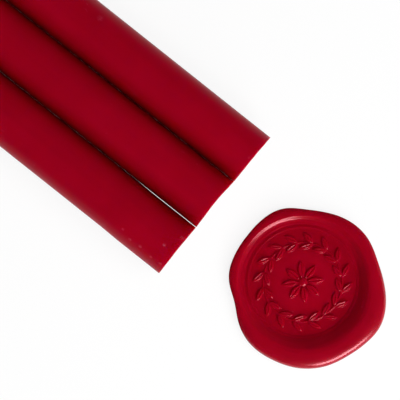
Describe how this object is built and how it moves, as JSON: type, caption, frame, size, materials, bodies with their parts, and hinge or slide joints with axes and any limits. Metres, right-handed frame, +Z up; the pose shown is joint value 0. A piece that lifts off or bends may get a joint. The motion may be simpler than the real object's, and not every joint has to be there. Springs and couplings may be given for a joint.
{
  "type": "sealing wax stick set",
  "caption": "Plain round sealing-wax sticks for a wax gun, lying side by side, with a stamped round seal of the same wax; melted and pressed to close envelopes.",
  "frame": {"origin": "bottom centre of the box round the whole set, on the desk", "axes": "+X along the sticks towards the stamped seal, +Y across the sticks towards the left one, +Z up from the desk"},
  "size_m": [0.1748, 0.0334, 0.011],
  "materials": {
    "stick_wax": "satin crimson wax with fine lengthwise casting marks",
    "seal_wax": "glossy crimson wax, set after melting"
  },
  "bodies": {
    "seal": {"stamped_seal": "seal_wax"},
    "left_stick": {"left_stick": "stick_wax"},
    "middle_stick": {"middle_stick": "stick_wax"},
    "right_stick": {"right_stick": "stick_wax"}
  },
  "joints": [
    {"name": "left_stick_lift", "type": "slide", "parent": "seal", "child": "left_stick", "axis": [0, 0, 1], "range_m": [0, 0.06]},
    {"name": "middle_stick_lift", "type": "slide", "parent": "seal", "child": "middle_stick", "axis": [0, 0, 1], "range_m": [0, 0.06]},
    {"name": "right_stick_lift", "type": "slide", "parent": "seal", "child": "right_stick", "axis": [0, 0, 1], "range_m": [0, 0.06]}
  ]
}
